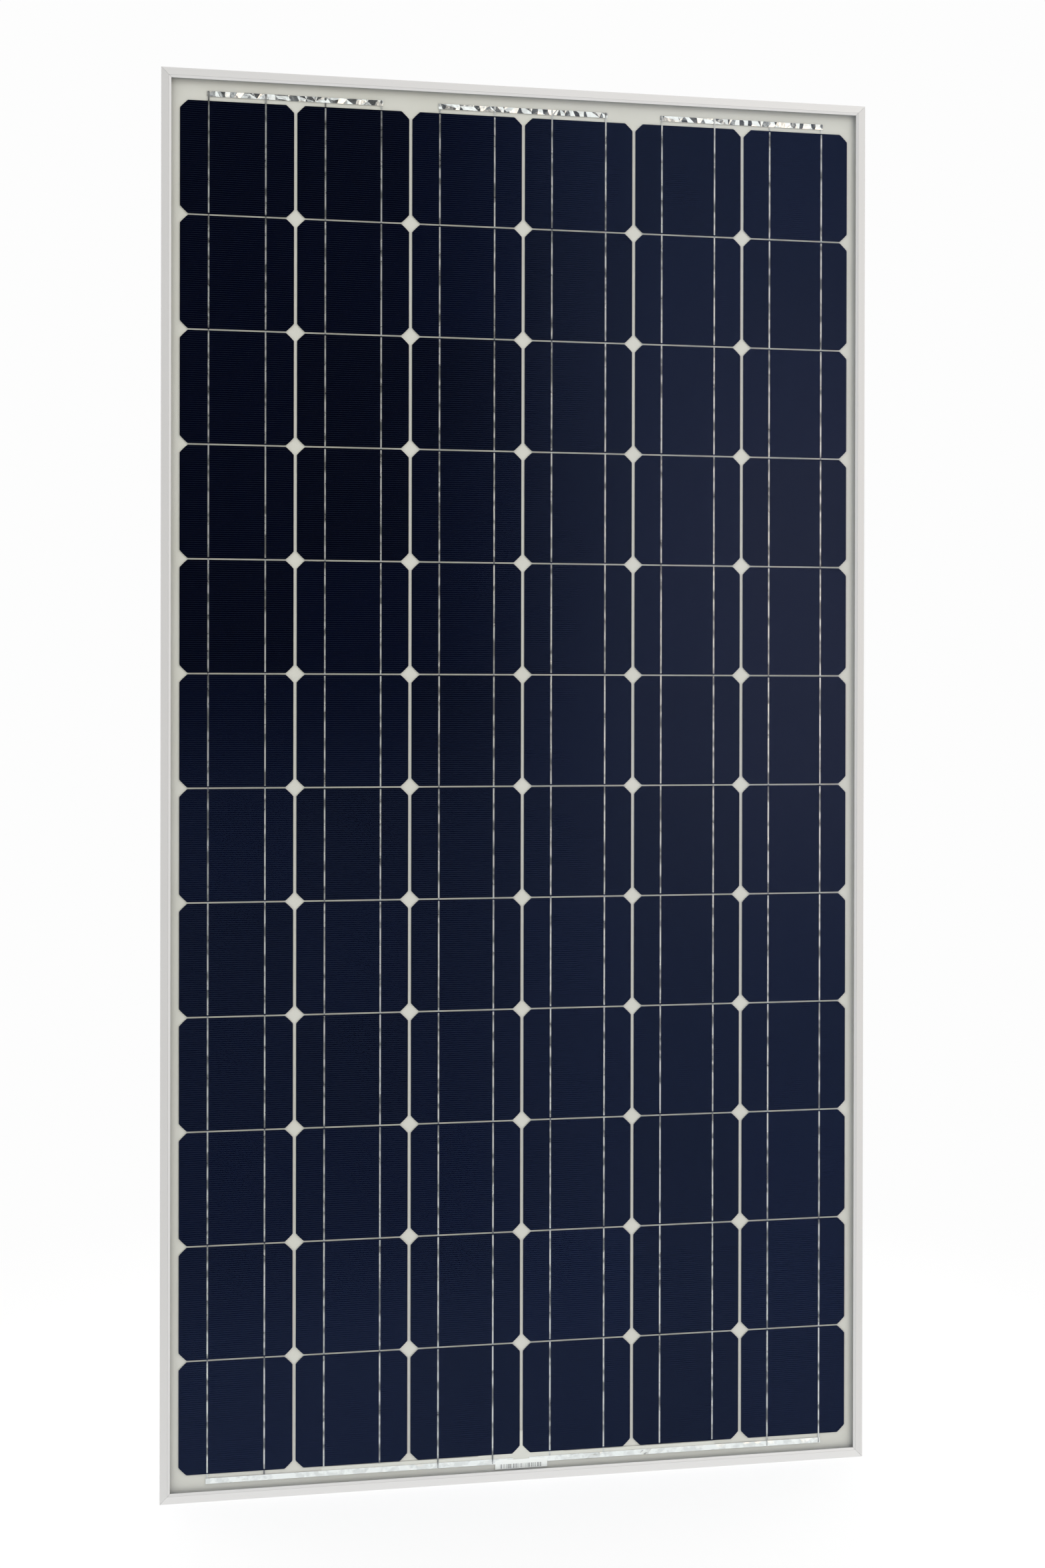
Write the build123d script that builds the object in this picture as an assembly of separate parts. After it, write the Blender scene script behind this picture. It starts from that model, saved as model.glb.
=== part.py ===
from build123d import *
import os

# A framed photovoltaic panel, in millimetres. +X is to the right seen from the glass side, +Y points to the
# rear and +Z is up. The origin is the centre of the rack holes, on the rear face of the frame.

# Frame
WIDTH = 808.0
HEIGHT = 1580.0
DEPTH = 35.0
FRAME_WALL = 1.8
CHAMBER_WALL = 1.6
LIP_WIDTH = 11.0
LIP_FACE = 8.5
LIP_BEVEL = 0.9
LIP_LINE = 0.3
LIP_LINE_DEPTH = 0.25
SHELF_WIDTH = 13.0
CHAMBER_HEIGHT = 13.0
LONG_FLANGE = 35.0
SHORT_FLANGE = 25.0
EDGE_RADIUS = 0.6
MITRE_GAP = 0.1

# Holes in the frame
HOLE_INSET = 22.0
RACK_HOLE = 9.0
RACK_SPACING = 1180.0
RAIL_SLOT_LENGTH = 14.0
RAIL_SLOT_SPACING = 800.0
GROUND_HOLE = 4.2
GROUND_SPACING = 200.0
DRAIN_LENGTH = 14.0
DRAIN_WIDTH = 4.0
DRAIN_SPACING = 660.0

# Corner keys
KEY_LEG = 58.0
KEY_CLEARANCE = 0.1
KEY_NOTCH = 2.0
KEY_NOTCH_DEPTH = 1.0
KEY_NOTCHES = 3

# Laminate, from the glass to the backsheet
EDGE_GAP = 1.2
SEAL = 0.5
SEAL_FRONT = 9.5
SEAL_REAR = 12.0
GLASS = 3.2
GLASS_RADIUS = 3.0
GLASS_CHAMFER = 0.4
FRONT_FILM = 0.45
FILM_GAP = 0.02
RIBBON = 0.2
CELL_THICKNESS = 0.2
REAR_FILM = 0.75
BACKSHEET = 0.35
INSULATOR = 0.1

# Cells
COLUMNS = 6
ROWS = 12
CELL = 125.0
WAFER_DIAMETER = 165.0
COLUMN_GAP = 3.5
ROW_GAP = 1.7
TOP_MARGIN = 33.1

# Ribbons
TAB_WIDTH = 1.6
TAB_OFFSET = 31.25
TAB_SETBACK = 1.3
TAB_REAR_SETBACK = 10.0
JOG_INSET = 0.3
JOG_SHORT = 0.15
LINK_WIDTH = 6.0
LINK_OVERHANG = 1.0
TOP_LINK_GAP = 4.8
BOTTOM_LINK_GAP = 4.9
TAB_END_INSET = 0.4
FRONT_AT_TOP = (1, 4, 5)
TERMINAL_STRINGS = (2, 5)

# Insulating strips and labels inside the laminate
STRIP_OVERHANG = 3.0
STRIP_GAP = 0.9
STRIP_FOOT_INSET = 0.5
LEAD_INSULATOR_WIDTH = 99.0
POCKET_CLEARANCE = 0.5
BAR_LABEL_WIDTH = 60.0
BAR_LABEL_HEIGHT = 10.5
BAR_LABEL_RISE = 11.2

# Junction box
BOX_WIDTH = 110.0
BOX_HEIGHT = 105.0
BOX_RADIUS = 8.0
BOX_GAP = 8.0
BOX_FLOOR = 2.5
BOX_WALL = 3.2
BOX_BASE_DEPTH = 18.0
PAD = 1.0
PAD_INSET = 5.0
LEAD_SLOT_WIDTH = 84.0
LEAD_SLOT_HEIGHT = 8.0
LEAD_SLOT_RISE = 13.0

# Lid, hinge and gasket
LID = 2.5
LID_GAP = 0.3
LID_EDGE_RADIUS = 1.0
LID_RIB = 1.2
LID_RIB_DEPTH = 2.5
LID_RIB_CLEARANCE = 0.5
GROOVE_INSET = 0.9
GROOVE_WIDTH = 1.4
GROOVE_DEPTH = 1.2
KNUCKLE_RADIUS = 3.5
KNUCKLE_LENGTH = 10.0
KNUCKLE_GAP = 0.3
HINGE_OFFSET = 4.0
HINGE_DROP = 0.45
HINGE_HALF_SPAN = 36.0
PIN_RADIUS = 1.5
PIN_CLEARANCE = 0.08
LATCH_WIDTH = 14.0
LATCH_THICKNESS = 1.6
LATCH_CLEARANCE = 0.4
LATCH_REACH = 5.0
LATCH_SPACING = 40.0
LEDGE_HEIGHT = 2.2
LEDGE_GAP = 0.3

# Inside the box
RAIL_PITCH = 24.0
RAIL_WIDTH = 10.0
RAIL = 0.8
RAIL_LIFT = 5.05
RAIL_START = 17.5
INNER_RAIL = 33.5
OUTER_RAIL = 53.5
POST_LENGTH = 10.0
POST_WIDTH = 8.0
POST_RISE = 13.5
LEAD_TAIL = 16.0
CLIP = 0.4
CLIP_LENGTH = 6.0
CLIP_RISE = 4.5
CLIP_SLIT = 3.0
DIODE_RISE = 27.5
DIODE_RADIUS = 2.65
DIODE_LENGTH = 9.5
DIODE_LEAD_RADIUS = 0.6
DIODE_LEAD_REACH = 3.5
SCREW_RISE = 47.5
SCREW_RADIUS = 2.0
SCREW_HEAD_RADIUS = 3.5
SCREW_HEAD = 2.5
SCREW_LENGTH = 4.5
SCREW_SLOT = 1.0
SCREW_CLEARANCE = 0.1

# Cable glands
GLAND_DEPTH = 10.75
SPOUT_LENGTH = 12.0
SPOUT_RADIUS = 7.9
SPOUT_BORE = 5.0
SPOUT_THROAT = 3.75
SEAL_LENGTH = 8.0
SEAL_BORE = 3.25
SEAL_PROUD = 2.0
NUT_ACROSS_FLATS = 18.0
NUT_STAND_OFF = 2.5
NUT_LENGTH = 14.0
NUT_HEX = 9.0
NUT_NOSE_RADIUS = 6.2
NUT_CLEARANCE = 0.1
NUT_SEAL_CLEARANCE = 0.25
NUT_MOUTH = 3.75

# Rating label
RATING_WIDTH = 100.0
RATING_HEIGHT = 70.0
RATING = 0.15
RATING_Z = 480.0

# Depths of each layer, front to rear
FRONT_Y = -DEPTH
LIP_Y = FRONT_Y + FRAME_WALL
GLASS_Y = LIP_Y + SEAL
FRONT_FILM_Y = GLASS_Y + GLASS
TAB_Y = FRONT_FILM_Y + FRONT_FILM
CELL_Y = TAB_Y + RIBBON
REAR_TAB_Y = CELL_Y + CELL_THICKNESS
REAR_FILM_Y = REAR_TAB_Y + RIBBON
STRIP_Y = REAR_FILM_Y + INSULATOR
FOOT_Y = STRIP_Y + INSULATOR
BUS_Y = FOOT_Y + RIBBON
BACKSHEET_Y = REAR_FILM_Y + REAR_FILM
BACK_Y = BACKSHEET_Y + BACKSHEET
SHELF_Y = BACK_Y + SEAL
CHAMBER_Y = SHELF_Y + CHAMBER_WALL
CHAMBER_END_Y = CHAMBER_Y + CHAMBER_HEIGHT

# Heights of the cell grid and what lies beside it
GRID_TOP = HEIGHT / 2 - TOP_MARGIN
GRID_HEIGHT = ROWS * CELL + (ROWS - 1) * ROW_GAP
GRID_BOTTOM = GRID_TOP - GRID_HEIGHT
GRID_Z = (GRID_TOP + GRID_BOTTOM) / 2
BAND_TOP = GRID_BOTTOM - BOTTOM_LINK_GAP
BAND_FOOT = BAND_TOP - LINK_WIDTH
STRIP_TOP = GRID_BOTTOM - STRIP_GAP
PANE_WIDTH = WIDTH - 2 * (FRAME_WALL + EDGE_GAP)
PANE_HEIGHT = HEIGHT - 2 * (FRAME_WALL + EDGE_GAP)

# Places of the junction box
BOX_FOOT = SHORT_FLANGE + BOX_GAP - HEIGHT / 2
BOX_Z = BOX_FOOT + BOX_HEIGHT / 2
BOX_TOP = BOX_FOOT + BOX_HEIGHT
BASE_Y = BACK_Y + PAD
FLOOR_Y = BASE_Y + BOX_FLOOR
RIM_Y = BASE_Y + BOX_BASE_DEPTH
LID_Y = RIM_Y + LID_GAP
LEAD_Z = BOX_FOOT + LEAD_SLOT_RISE
RAIL_Y = FLOOR_Y + RAIL_LIFT
RAIL_FACE_Y = RAIL_Y + RAIL
GLAND_Y = BASE_Y + GLAND_DEPTH
GLAND_X = 1.5 * RAIL_PITCH
HINGE_X = -BOX_WIDTH / 2 - HINGE_OFFSET
HINGE_Y = LID_Y - HINGE_DROP
LEAD_XS = [RAIL_PITCH * (number - 2.5) for number in range(1, 5)]
SIDES = (-1, 1)


def block(x_span, y_span, z_span):
    """A square-cornered block between two values on each axis."""
    spans = (x_span, y_span, z_span)
    middle = [(low + high) / 2 for low, high in spans]
    return Pos(*middle) * Box(*[high - low for low, high in spans])


def plate(outline, y_front, y_rear):
    """A plate of the outline's shape, drawn in X and Z, between two depths."""
    return Pos(0, y_rear, 0) * extrude(Plane.XZ * outline, amount=y_rear - y_front)


def upright(radius, x, y, z_low, z_high):
    """A round bar or bore along Z."""
    return Pos(x, y, (z_low + z_high) / 2) * Cylinder(radius, z_high - z_low)


def across(radius, x, y_low, y_high, z):
    """A round bar or bore along Y."""
    return Pos(x, (y_low + y_high) / 2, z) * Rot(90, 0, 0) * Cylinder(radius, y_high - y_low)


def one_side(section, length, distance, turn):
    """Runs a section along one side of the frame, mitres its ends and turns it to that side."""
    bar = extrude(section, amount=length / 2, both=True)
    reach = LONG_FLANGE
    end = length / 2 - MITRE_GAP
    corners = [(0, -end), (0, end), (reach, end - reach), (reach, reach - end)]
    mitred = bar & plate(make_face(Polyline(*corners, close=True)), -DEPTH, 0)
    return Rot(0, turn, 0) * Pos(-distance, 0, 0) * mitred


def rail_section(flange):
    """The rail's section: a grooved lip, the pane's channel, a closed chamber and the rear flange."""
    points = [
        (0, FRONT_Y),
        (LIP_FACE - LIP_LINE, FRONT_Y),
        (LIP_FACE - LIP_LINE, FRONT_Y + LIP_LINE_DEPTH),
        (LIP_FACE, FRONT_Y + LIP_LINE_DEPTH),
        (LIP_FACE, FRONT_Y),
        (LIP_WIDTH, FRONT_Y + LIP_BEVEL),
        (LIP_WIDTH, LIP_Y),
        (FRAME_WALL, LIP_Y),
        (FRAME_WALL, SHELF_Y),
        (SHELF_WIDTH, SHELF_Y),
        (SHELF_WIDTH, CHAMBER_END_Y + CHAMBER_WALL),
        (FRAME_WALL, CHAMBER_END_Y + CHAMBER_WALL),
        (FRAME_WALL, -FRAME_WALL),
        (flange, -FRAME_WALL),
        (flange, 0),
        (0, 0),
    ]
    outline = make_face(Polyline(*points, close=True))
    outer_edges = [corner for corner in outline.vertices() if abs(corner.X) < KEY_CLEARANCE]
    outline = fillet(outer_edges, EDGE_RADIUS)
    chamber = Pos((FRAME_WALL + SHELF_WIDTH - CHAMBER_WALL) / 2, (CHAMBER_Y + CHAMBER_END_Y) / 2)
    return outline - chamber * Rectangle(SHELF_WIDTH - CHAMBER_WALL - FRAME_WALL, CHAMBER_HEIGHT)


def long_rail(side):
    """A left or right rail, with its rack holes, slots and ground holes through the flange."""
    rail = one_side(rail_section(LONG_FLANGE), HEIGHT, WIDTH / 2, 90 * (1 + side))
    x = side * (WIDTH / 2 - HOLE_INSET)
    for end in SIDES:
        rail -= across(RACK_HOLE / 2, x, -FRAME_WALL, 0, end * RACK_SPACING / 2)
        rail -= across(GROUND_HOLE / 2, x, -FRAME_WALL, 0, end * GROUND_SPACING / 2)
        slot = Pos(x, end * RAIL_SLOT_SPACING / 2) * SlotOverall(RAIL_SLOT_LENGTH, RACK_HOLE, rotation=90)
        rail -= plate(slot, -FRAME_WALL, 0)
    return rail


def short_rail(side):
    """A bottom or top rail, with two drain slots through its outer wall."""
    rail = one_side(rail_section(SHORT_FLANGE), WIDTH, HEIGHT / 2, 90 * side)
    y = (CHAMBER_END_Y + CHAMBER_WALL - FRAME_WALL) / 2
    for end in SIDES:
        z = side * (HEIGHT - FRAME_WALL) / 2
        drain = extrude(SlotOverall(DRAIN_LENGTH, DRAIN_WIDTH), amount=FRAME_WALL, both=True)
        rail -= Pos(end * DRAIN_SPACING / 2, y, z) * drain
    return rail


def edge_seal(length, distance, turn):
    """The channel-shaped seal round one edge of the laminate."""
    points = [
        (FRAME_WALL, LIP_Y),
        (SEAL_FRONT, LIP_Y),
        (SEAL_FRONT, GLASS_Y),
        (FRAME_WALL + EDGE_GAP, GLASS_Y),
        (FRAME_WALL + EDGE_GAP, BACK_Y),
        (SEAL_REAR, BACK_Y),
        (SEAL_REAR, SHELF_Y),
        (FRAME_WALL, SHELF_Y),
    ]
    return one_side(make_face(Polyline(*points, close=True)), length, distance, turn)


def corner_key(x_side, z_side):
    """The angle pushed into both rails' chambers at one corner, notched where they are crimped onto it."""
    outer = FRAME_WALL + KEY_CLEARANCE
    inner = SHELF_WIDTH - CHAMBER_WALL - KEY_CLEARANCE
    corners = [(outer, outer), (KEY_LEG, outer), (KEY_LEG, inner), (inner, inner), (inner, KEY_LEG)]
    corners.append((outer, KEY_LEG))
    outline = make_face(Polyline(*corners, close=True))
    pitch = (KEY_LEG - inner) / (KEY_NOTCHES + 1)
    for number in range(1, KEY_NOTCHES + 1):
        notch = Rectangle(KEY_NOTCH, 2 * KEY_NOTCH_DEPTH)
        outline -= Pos(inner + number * pitch, inner) * notch
        outline -= Pos(inner, inner + number * pitch) * Rot(0, 0, 90) * notch
    key = plate(outline, CHAMBER_Y, CHAMBER_END_Y - KEY_CLEARANCE)
    if x_side > 0:
        key = mirror(key, Plane.YZ)
    if z_side > 0:
        key = mirror(key, Plane.XY)
    return Pos(x_side * WIDTH / 2, 0, z_side * HEIGHT / 2) * key


def pane(y_front, thickness):
    """A full sheet of the laminate."""
    return plate(Rectangle(PANE_WIDTH, PANE_HEIGHT), y_front, y_front + thickness)


def film_sheet(y_front, thickness):
    """A full sheet of film, a hair thinner than its place so that its faces stay apart from its neighbours."""
    return pane(y_front + FILM_GAP, thickness - 2 * FILM_GAP)


def front_glass():
    """The toughened glass, with rounded corners and seamed edges."""
    sheet = RectangleRounded(PANE_WIDTH, PANE_HEIGHT, GLASS_RADIUS)
    glass = plate(sheet, GLASS_Y, GLASS_Y + GLASS)
    faces = glass.faces().sort_by(Axis.Y)
    return chamfer(faces[0].edges() + faces[-1].edges(), GLASS_CHAMFER)


def column_x(string):
    """The middle of a string of cells."""
    return (string - (COLUMNS + 1) / 2) * (CELL + COLUMN_GAP)


def cell_edges(row):
    """The top and bottom edge of a row of cells, counted from 0 at the top."""
    top = GRID_TOP - row * (CELL + ROW_GAP)
    return top, top - CELL


def cell_string(string):
    """Twelve wafers, squares whose corners are cut by the round ingot they came from."""
    wafer = plate(Rectangle(CELL, CELL) & Circle(WAFER_DIAMETER / 2), CELL_Y, CELL_Y + CELL_THICKNESS)
    return [Pos(column_x(string), 0, sum(cell_edges(row)) / 2) * wafer for row in range(ROWS)]


def tab(x, path):
    """A flat ribbon that follows a list of front-face points (y, z), one ribbon thickness deep."""
    outline = path + [(y + RIBBON, z) for y, z in reversed(path)]
    strip = extrude(Plane.YZ * make_face(Polyline(*outline, close=True)), amount=TAB_WIDTH / 2, both=True)
    return Pos(x, 0, 0) * strip


def middle_path(row):
    """The path of a ribbon from the front of one cell up to the rear of the cell above it."""
    below_top, below_foot = cell_edges(row)
    above_top, above_foot = cell_edges(row - 1)
    return [
        (TAB_Y, below_foot + TAB_SETBACK),
        (TAB_Y, below_top + JOG_INSET),
        (REAR_TAB_Y, above_foot - JOG_INSET),
        (REAR_TAB_Y, above_top - TAB_REAR_SETBACK),
    ]


def end_path(start_y, start_z, edge_z, end_z, to_terminal):
    """The path of a string's last ribbon, straight on to a link or stepped back to a terminal ribbon."""
    if not to_terminal:
        return [(start_y, start_z), (start_y, end_z)]
    way = 1 if end_z > edge_z else -1
    return [
        (start_y, start_z),
        (start_y, edge_z + way * JOG_SHORT),
        (FOOT_Y, edge_z + way * (STRIP_GAP - JOG_SHORT)),
        (FOOT_Y, end_z),
    ]


def string_ribbons(string):
    """Both rows of ribbons of one string, each from the front of a cell to the rear of the next."""
    front_up = string in FRONT_AT_TOP
    top_end = GRID_TOP + TOP_LINK_GAP + LINK_WIDTH - TAB_END_INSET
    foot_end = BAND_FOOT + TAB_END_INSET
    to_terminal = string in TERMINAL_STRINGS
    first_foot = cell_edges(0)[1]
    last_top = cell_edges(ROWS - 1)[0]
    if front_up:
        paths = [middle_path(row) for row in range(1, ROWS)]
        paths.append(end_path(TAB_Y, first_foot + TAB_SETBACK, GRID_TOP, top_end, False))
        paths.append(end_path(REAR_TAB_Y, last_top - TAB_REAR_SETBACK, GRID_BOTTOM, foot_end, to_terminal))
    else:
        paths = [[(y, 2 * GRID_Z - z) for y, z in middle_path(row)] for row in range(1, ROWS)]
        paths.append(end_path(REAR_TAB_Y, first_foot + TAB_REAR_SETBACK, GRID_TOP, top_end, False))
        paths.append(end_path(TAB_Y, last_top - TAB_SETBACK, GRID_BOTTOM, foot_end, to_terminal))
    return [tab(column_x(string) + side * TAB_OFFSET, path) for side in SIDES for path in paths]


def outer_tab(string, side):
    """The outer edge of a link ribbon at a string's left or right row of tabs."""
    return column_x(string) + side * (TAB_OFFSET + TAB_WIDTH / 2 + LINK_OVERHANG)


def top_link(first, second):
    """A wide ribbon that joins two strings above the cells."""
    z_low = GRID_TOP + TOP_LINK_GAP
    x_span = (outer_tab(first, -1), outer_tab(second, 1))
    return block(x_span, (CELL_Y, REAR_TAB_Y), (z_low, z_low + LINK_WIDTH))


def lead(x, z_low):
    """A ribbon up behind the cells, back through the backsheet and onto a terminal rail."""
    x_span = (x - LINK_WIDTH / 2, x + LINK_WIDTH / 2)
    fold = (LEAD_Z - RIBBON / 2, LEAD_Z + RIBBON / 2)
    run = block(x_span, (BUS_Y, BUS_Y + RIBBON), (z_low, fold[1]))
    run += block(x_span, (BUS_Y, RAIL_FACE_Y + RIBBON), fold)
    return run + block(x_span, (RAIL_FACE_Y, RAIL_FACE_Y + RIBBON), (fold[0], LEAD_Z + LEAD_TAIL))


def bottom_link(number):
    """A wide ribbon that joins two strings below the cells, with its lead soldered behind its inner end."""
    x = LEAD_XS[number]
    side = 1 if x > 0 else -1
    outer = outer_tab(COLUMNS if side > 0 else 1, side)
    inner = x - side * LINK_WIDTH / 2
    band = block(sorted((outer, inner)), (CELL_Y, REAR_TAB_Y), (BAND_FOOT, BAND_TOP))
    solder = block(solder_span(x), (REAR_TAB_Y, BUS_Y), solder_heights())
    return band + solder + lead(x, BAND_FOOT)


def solder_span(x):
    """The width of the joint between a link ribbon and its lead."""
    return (x - LINK_WIDTH / 2 + POCKET_CLEARANCE, x + LINK_WIDTH / 2 - POCKET_CLEARANCE)


def solder_heights():
    """The height of the joint between a link ribbon and its lead."""
    return (BAND_FOOT + 3 * POCKET_CLEARANCE, BAND_TOP - 2 * POCKET_CLEARANCE)


def terminal_ribbon(string):
    """The ribbon behind the insulating strip that carries one terminal string to the box."""
    side = 1 if string > COLUMNS / 2 else -1
    x = side * GLAND_X
    span = sorted((outer_tab(string, side), x - side * LINK_WIDTH / 2))
    band = block(span, (BUS_Y, BUS_Y + RIBBON), (BAND_FOOT, BAND_TOP))
    return band + lead(x, BAND_TOP)


def windows(y_span):
    """The openings that let the link ribbons' solder joints through an insulator."""
    z_low, z_high = solder_heights()
    openings = []
    for x in LEAD_XS[1:3]:
        x_low, x_high = solder_span(x)
        openings.append(
            block(
                (x_low - INSULATOR, x_high + INSULATOR),
                y_span,
                (z_low - INSULATOR, z_high + INSULATOR),
            )
        )
    return openings


def insulating_strip():
    """The long white strip between the links in front and the terminal ribbons behind."""
    left = column_x(TERMINAL_STRINGS[0]) - TAB_OFFSET - STRIP_OVERHANG
    y_span = (STRIP_Y, FOOT_Y)
    strip = block((left, -left), y_span, (BAND_FOOT + STRIP_FOOT_INSET, STRIP_TOP))
    for window in windows(y_span):
        strip -= window
    return strip


def lead_insulator():
    """The short white strip between the cells and the four leads behind them."""
    half = LEAD_INSULATOR_WIDTH / 2
    y_span = (REAR_FILM_Y, STRIP_Y)
    strip = block((-half, half), y_span, (BAND_FOOT + 2 * STRIP_FOOT_INSET, LEAD_Z + LEAD_SLOT_HEIGHT))
    for window in windows(y_span):
        strip -= window
    return strip


def bar_label():
    """The small label laid over the middle of the bottom band, under the glass."""
    z_low = BAR_LABEL_RISE - HEIGHT / 2
    y_span = (CELL_Y - INSULATOR, CELL_Y)
    return block((-BAR_LABEL_WIDTH / 2, BAR_LABEL_WIDTH / 2), y_span, (z_low, z_low + BAR_LABEL_HEIGHT))


def lead_slot(y_front, y_rear, margin=0.0):
    """The slot that the leads pass through on their way to the box."""
    half = LEAD_SLOT_WIDTH / 2 + margin
    rise = LEAD_SLOT_HEIGHT / 2 + margin
    return block((-half, half), (y_front, y_rear), (LEAD_Z - rise, LEAD_Z + rise))


def rear_encapsulant():
    """The rear film, hollowed where the strips, terminal ribbons and leads are sunk in it."""
    film = film_sheet(REAR_FILM_Y, REAR_FILM)
    half = -outer_tab(TERMINAL_STRINGS[0], -1) + STRIP_OVERHANG
    y_span = (REAR_FILM_Y, BUS_Y + RIBBON)
    film -= block((-half, half), y_span, (BAND_FOOT - POCKET_CLEARANCE, GRID_BOTTOM))
    half = LEAD_INSULATOR_WIDTH / 2 + POCKET_CLEARANCE
    film -= block((-half, half), y_span, (GRID_BOTTOM, LEAD_Z + LEAD_SLOT_HEIGHT + POCKET_CLEARANCE))
    return film - lead_slot(REAR_FILM_Y, BACKSHEET_Y)


def backsheet():
    """The white rear sheet, slotted for the leads."""
    return pane(BACKSHEET_Y, BACKSHEET) - lead_slot(BACKSHEET_Y, BACK_Y)


def rating_label():
    """The label on the back of the backsheet."""
    outline = Pos(0, RATING_Z) * RectangleRounded(RATING_WIDTH, RATING_HEIGHT, GLASS_RADIUS)
    return plate(outline, BACK_Y, BACK_Y + RATING)


def box_outline(inset):
    """The box's rounded outline, drawn in by an inset."""
    radius = BOX_RADIUS - inset
    return Pos(0, BOX_Z) * RectangleRounded(BOX_WIDTH - 2 * inset, BOX_HEIGHT - 2 * inset, radius)


def box_adhesive():
    """The pad of sealant under the box."""
    return plate(box_outline(PAD_INSET), BACK_Y, BASE_Y) - lead_slot(BACK_Y, BASE_Y)


def knuckles(y_low, y_high, inner, outer, reach):
    """A pair of hinge knuckles, each on its own arm, mirrored about the middle of the box."""
    pieces = []
    for side in SIDES:
        z_low, z_high = sorted((BOX_Z + side * inner, BOX_Z + side * outer))
        arm = block((HINGE_X, reach), (y_low, y_high), (z_low, z_high))
        pieces.append(arm + upright(KNUCKLE_RADIUS, HINGE_X, HINGE_Y, z_low, z_high))
    return pieces


def latch_spans():
    """The height range of each latch."""
    middles = [BOX_Z + side * LATCH_SPACING / 2 for side in SIDES]
    return [(z - LATCH_WIDTH / 2, z + LATCH_WIDTH / 2) for z in middles]


def box_base():
    """The open box: walls, gasket groove, posts, gland spouts, hinge knuckles and latch ledges."""
    base = plate(box_outline(0), BASE_Y, RIM_Y) - plate(box_outline(BOX_WALL), FLOOR_Y, RIM_Y)
    base -= lead_slot(BASE_Y, FLOOR_Y)
    for x in LEAD_XS:
        z_low = BOX_FOOT + RAIL_START + POST_RISE
        post = (z_low, z_low + POST_LENGTH)
        base += block((x - POST_WIDTH / 2, x + POST_WIDTH / 2), (FLOOR_Y, RAIL_Y), post)
    for side in SIDES:
        x = side * GLAND_X
        z = BOX_FOOT + SCREW_RISE + RAIL_START
        post = (z - POST_WIDTH / 2, z + POST_WIDTH / 2)
        base += block((x - RAIL_WIDTH / 2, x + RAIL_WIDTH / 2), (FLOOR_Y, RAIL_Y), post)
        base -= across(SCREW_RADIUS + SCREW_CLEARANCE, x, FLOOR_Y, RAIL_Y, z)
        base += upright(SPOUT_RADIUS, x, GLAND_Y, BOX_TOP, BOX_TOP + SPOUT_LENGTH)
        seat = BOX_TOP + SPOUT_LENGTH + SEAL_PROUD - SEAL_LENGTH
        base -= upright(SPOUT_THROAT, x, GLAND_Y, BOX_TOP - BOX_WALL, seat)
        base -= upright(SPOUT_BORE, x, GLAND_Y, seat, BOX_TOP + SPOUT_LENGTH)
    reach = BOX_WALL / 2 - BOX_WIDTH / 2
    inner = HINGE_HALF_SPAN - KNUCKLE_LENGTH
    for knuckle in knuckles(HINGE_Y - KNUCKLE_RADIUS, HINGE_Y, inner, HINGE_HALF_SPAN, reach):
        base += knuckle
    base -= upright(PIN_RADIUS, HINGE_X, HINGE_Y, BOX_Z - HINGE_HALF_SPAN, BOX_Z + HINGE_HALF_SPAN)
    for z_span in latch_spans():
        y_high = LID_Y - LATCH_REACH - LEDGE_GAP
        x_span = (BOX_WIDTH / 2 - BOX_WALL / 2, BOX_WIDTH / 2 + LATCH_CLEARANCE + LATCH_THICKNESS)
        base += block(x_span, (y_high - LEDGE_HEIGHT, y_high), z_span)
    return base - plate(gasket_outline(), RIM_Y - GROOVE_DEPTH, RIM_Y)


def gasket_outline():
    """The track of the lid's gasket, round the rim."""
    return box_outline(GROOVE_INSET) - box_outline(GROOVE_INSET + GROOVE_WIDTH)


def lid_gasket():
    """The gasket, standing in its groove up to the lid."""
    return plate(gasket_outline(), RIM_Y - GROOVE_DEPTH, LID_Y)


def box_lid():
    """The lid: a plate with a locating rib, two hinge knuckles and two latch tabs."""
    lid = plate(box_outline(0), LID_Y, LID_Y + LID)
    lid = fillet(lid.faces().sort_by(Axis.Y)[-1].edges(), LID_EDGE_RADIUS)
    rib = box_outline(BOX_WALL + LID_RIB_CLEARANCE) - box_outline(BOX_WALL + LID_RIB_CLEARANCE + LID_RIB)
    lid += plate(rib, LID_Y - LID_RIB_DEPTH, LID_Y)
    outer = HINGE_HALF_SPAN - KNUCKLE_LENGTH - KNUCKLE_GAP
    reach = BOX_WALL / 2 - BOX_WIDTH / 2
    for knuckle in knuckles(LID_Y, LID_Y + LID - LID_EDGE_RADIUS, outer - KNUCKLE_LENGTH, outer, reach):
        lid += knuckle
    bore = upright(PIN_RADIUS + PIN_CLEARANCE, HINGE_X, HINGE_Y, BOX_Z - outer, BOX_Z + outer)
    x_low = BOX_WIDTH / 2 + LATCH_CLEARANCE
    for z_span in latch_spans():
        x_high = x_low + LATCH_THICKNESS
        lid += block((BOX_WIDTH / 2 - BOX_WALL, x_high), (LID_Y, LID_Y + LID - LID_EDGE_RADIUS), z_span)
        lid += block((x_low, x_high), (LID_Y - LATCH_REACH, LID_Y), z_span)
    return lid - bore


def hinge_pin():
    """The steel pin through all four knuckles."""
    return upright(PIN_RADIUS, HINGE_X, HINGE_Y, BOX_Z - HINGE_HALF_SPAN, BOX_Z + HINGE_HALF_SPAN)


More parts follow.
